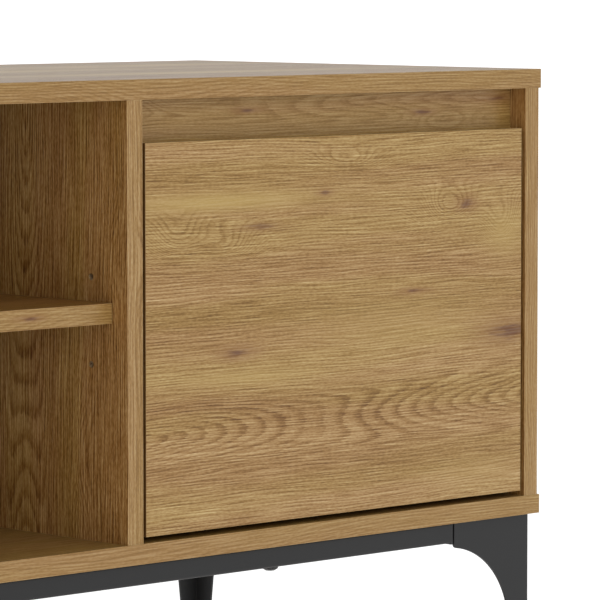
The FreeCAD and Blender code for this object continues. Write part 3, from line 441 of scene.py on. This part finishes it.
TOP_GLOW = (
    (1.120, 0.110, 0.200, 0.020, 0.90),
    (0.900, 0.230, 0.260, 0.030, 0.90),
    (1.240, 0.300, 0.120, 0.022, 0.80),
    (0.480, 0.130, 0.240, 0.026, 0.90),
    (0.250, 0.290, 0.180, 0.024, 0.80),
)
SHELF_MARKS = (
    (0.446, 0.008, 0.012, 0.0020, 0.95),
)
TOP_MARKS = (
    (1.010, 0.055, 0.090, 0.0080, 0.90),
    (0.780, 0.150, 0.110, 0.0070, 0.60),
    (0.420, 0.270, 0.090, 0.0070, 0.60),
    (0.180, 0.090, 0.012, 0.0040, 0.80),
    (1.210, 0.300, 0.014, 0.0045, 0.80),
)
STRIP_FIGURE = (0.026, 0.0, 0.004, 0.075, 0.016, (
    (0.050, 0.032, 0.030, 0.008, 0.012),
    (0.330, 0.010, 0.040, 0.007, 0.010),
))
STRIP_MARKS = (
    (0.120, 0.023, 0.012, 0.0016, 0.95),
    (0.307, 0.017, 0.012, 0.0020, 0.95),
    (0.391, 0.026, 0.016, 0.0022, 0.90),
)


FELT_DARK = (0.150, 0.082, 0.038)
FELT_PALE = (0.270, 0.160, 0.080)


def hardboard(node):
    """Thin fibreboard: oak print on the face that looks into the cabinet, raw on the other."""
    g = Graph(f"hardboard_{node}")
    low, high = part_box(node)
    x, y, z = g.place()
    printed, relief, _ = oak_figure(g, g.sub(x, low[0]), g.sub(z, low[2]), 120.0, contrast=0.8)
    felt = spread(g, 420.0, 4.0, 0.8)
    clouds = spread(g, 22.0, 3.0)
    raw_brown = g.ramp(g.blend(0.75, clouds, felt), (0.30, FELT_DARK), (0.70, FELT_PALE))
    raw = g.above(y, low[1] + 0.0001)
    colour = g.mix(raw, printed, raw_brown)
    roughness = g.blend(raw, 0.5, 0.85)
    normal = g.bump(g.blend(raw, relief, felt), 0.0003, 0.5)
    return g.finish(colour=colour, roughness=roughness, normal=normal)


def painted_steel():
    """Anthracite powder coat: a fine orange peel, a little paler in patches."""
    g = Graph("anthracite_powder_coat")
    peel = spread(g, 900.0)
    cloud = spread(g, 14.0, 3.0)
    speck = g.steps(spread(g, 2200.0, 1.0), 0.66, 0.74)
    colour = g.mix(g.steps(cloud, 0.3, 0.7), (0.0086, 0.0088, 0.0091), (0.0110, 0.0112, 0.0116))
    colour = g.mix(g.mul(speck, 0.35), colour, (0.060, 0.060, 0.062))
    return g.finish(colour=colour, roughness=g.blend(cloud, 0.42, 0.56), normal=g.bump(peel, 0.00008, 0.45),
                    specular=0.35)


def plated_steel():
    """Nickel or zinc plate: rolling marks, small stains and duller patches."""
    g = Graph("plated_steel")
    x, y, z = g.place()
    rolled = g.noise(g.vector(g.mul(x, 160.0), g.mul(y, 2400.0), g.mul(z, 2400.0)), 2.0, 0.7)
    stain = spread(g, 90.0, 3.0, 0.6)
    colour = g.ramp(stain, (0.34, (0.420, 0.415, 0.395)), (0.52, (0.600, 0.600, 0.590)),
                    (0.70, (0.680, 0.690, 0.700)))
    roughness = g.add(g.blend(stain, 0.42, 0.22), g.mul(g.sub(rolled, 0.5), 0.12))
    return g.finish(colour=colour, roughness=roughness, normal=g.bump(rolled, 0.00003, 0.4), metal=1.0)


def black_oxide():
    """Blackened bolts, with the steel showing through a little."""
    g = Graph("black_oxide_steel")
    rub = spread(g, 520.0, 3.0, 0.65)
    colour = g.ramp(rub, (0.45, (0.018, 0.018, 0.019)), (0.72, (0.085, 0.083, 0.080)))
    return g.finish(colour=colour, roughness=g.blend(rub, 0.50, 0.30), normal=g.bump(rub, 0.00005, 0.4),
                    metal=0.7)


def beech():
    """Raw beech dowels: pale, with small dark flecks."""
    g = Graph("raw_beech")
    fleck = g.steps(spread(g, 900.0), 0.58, 0.70)
    tone = spread(g, 120.0, 3.0)
    colour = g.mix(tone, (0.56, 0.37, 0.205), (0.70, 0.50, 0.310))
    colour = g.mix(g.mul(fleck, 0.6), colour, (0.330, 0.180, 0.085))
    return g.finish(colour=colour, roughness=g.blend(fleck, 0.62, 0.75), normal=g.bump(fleck, 0.00005, 0.4))


def ferrite():
    """Sintered magnet: dark grey and slightly granular."""
    g = Graph("ferrite_magnet")
    grain = spread(g, 1500.0, 3.0, 0.7)
    colour = g.mix(grain, (0.050, 0.049, 0.050), (0.115, 0.112, 0.110))
    return g.finish(colour=colour, roughness=g.blend(grain, 0.50, 0.70), normal=g.bump(grain, 0.00006, 0.5))


WHITE_PLASTIC = ((0.620, 0.605, 0.565), (0.720, 0.710, 0.675))
BLACK_PLASTIC = ((0.014, 0.014, 0.015), (0.030, 0.030, 0.031))


def moulded_plastic(name, colours, roughness):
    """Moulded plastic with a fine spark-eroded texture."""
    g = Graph(name)
    texture = spread(g, 1700.0, 2.0, 0.6)
    flow = spread(g, 55.0, 2.0)
    colour = g.mix(g.blend(0.5, texture, flow), *colours)
    return g.finish(colour=colour, roughness=g.blend(texture, roughness - 0.06, roughness + 0.08),
                    normal=g.bump(texture, 0.00005, 0.5))


def give(node, material):
    nodes[node].data.materials.clear()
    nodes[node].data.materials.append(material)


def dress_boards():
    """Boards whose front is an edge band first, then doors and strips, whose front is their broad face."""
    boards = {
        "top_panel": oak_board("top_panel", "X", 40.0, shade=-0.08, marks=TOP_MARKS, glow=TOP_GLOW),
        "bottom_panel": oak_board("bottom_panel", "X", 52.0, contrast=0.9, shade=-0.04),
        # The shelf's shade offset of -0.05 is painted shade, darkening it as it sits inside its open
        # compartment.
        "shelf": oak_board("shelf", "X", 63.0, shade=-0.05, marks=SHELF_MARKS, warm_print_and_bounce=True),
        "right_door": oak_board("right_door", "X", 2.0, DOOR_FIGURE, marks=DOOR_MARKS, glow=DOOR_GLOW,
                                banded_front=False),
        "left_door": oak_board("left_door", "X", 21.0, banded_front=False),
    }
    for number, side in enumerate(("right", "left")):
        seed = 71.0 + 3 * number
        panel, divider, strip = f"{side}_side_panel", f"{side}_divider", f"{side}_recess_strip"
        boards[panel] = oak_board(panel, "Z", seed, warm_print_and_bounce=True)
        figure = DIVIDER_FIGURE if side == "right" else None
        boards[divider] = oak_board(divider, "Z", seed + 13, figure, contrast=1.4, warm_print_and_bounce=True)
        # The strips' shade offset of -0.03 is painted shade, darkening them in the recess under the top
        # board.
        boards[strip] = oak_board(strip, "X", seed + 24, STRIP_FIGURE, contrast=0.55, shade=-0.03,
                                  marks=STRIP_MARKS, banded_front=False)
    for node, material in boards.items():
        give(node, material)


def dress_the_rest():
    finishes = {
        "painted_steel": painted_steel(),
        "zinc_steel": plated_steel(),
        "black_steel": black_oxide(),
        "beech": beech(),
        "magnet": ferrite(),
        "white_plastic": moulded_plastic("white_plastic", WHITE_PLASTIC, 0.38),
        "black_plastic": moulded_plastic("black_plastic", BLACK_PLASTIC, 0.45),
    }
    for part in frame["record"]["subparts"]:
        node, slot = part["node"], part["material_slot"]
        if slot == "hardboard":
            give(node, hardboard(node))
        elif slot in finishes:
            give(node, finishes[slot])


# Camera, floor and light

def scene_camera():
    corner = Vector((cad_box[1][0], cad_box[0][1], cad_box[1][2]))
    data = bpy.data.cameras.new("camera")
    data.lens = CAMERA_LENS
    data.sensor_width = SENSOR
    data.clip_start = 0.05
    data.clip_end = 300
    camera = bpy.data.objects.new("camera", data)
    camera.location = corner + CAMERA_FROM_CORNER
    camera.rotation_euler = (math.pi / 2 - CAMERA_PITCH, 0, -CAMERA_YAW)
    bpy.context.scene.collection.objects.link(camera)
    bpy.context.scene.camera = camera


def studio_floor():
    half = FLOOR_SIZE / 2
    mesh = bpy.data.meshes.new("floor")
    corners = [(-half, -half, 0), (half, -half, 0), (half, half, 0), (-half, half, 0)]
    mesh.from_pydata(corners, [], [(0, 1, 2, 3)])
    floor = bpy.data.objects.new("floor", mesh)
    bpy.context.scene.collection.objects.link(floor)
    g = Graph("studio_floor")
    g.put(g.shader.inputs["Emission Color"], (1.0, 1.0, 1.0))
    g.put(g.shader.inputs["Emission Strength"], FLOOR_GLOW)
    floor.data.materials.append(g.finish(colour=FLOOR_COLOUR, roughness=0.9, specular=0.1))


def studio_light():
    data = bpy.data.lights.new("sun", "SUN")
    data.energy = SUN
    data.angle = SUN_ANGLE
    sun = bpy.data.objects.new("sun", data)
    sun.rotation_euler = SUN_FROM.to_track_quat("Z", "Y").to_euler()
    bpy.context.scene.collection.objects.link(sun)
    world = bpy.data.worlds.new("studio")
    world.use_nodes = True
    tree = world.node_tree
    direction = tree.nodes.new("ShaderNodeTexCoord")
    height = tree.nodes.new("ShaderNodeSeparateXYZ")
    brightness = tree.nodes.new("ShaderNodeMapRange")
    tree.links.new(direction.outputs["Generated"], height.inputs[0])
    tree.links.new(height.outputs["Z"], brightness.inputs["Value"])
    brightness.inputs["To Min"].default_value = SKY_LOW
    brightness.inputs["To Max"].default_value = SKY_HIGH
    tree.links.new(brightness.outputs[0], tree.nodes["Background"].inputs["Strength"])
    tree.nodes["Background"].inputs["Color"].default_value = (1, 1, 1, 1)
    bpy.context.scene.world = world
    bpy.context.scene.view_settings.view_transform = "Standard"


dress_boards()
dress_the_rest()
scene_camera()
studio_floor()
studio_light()
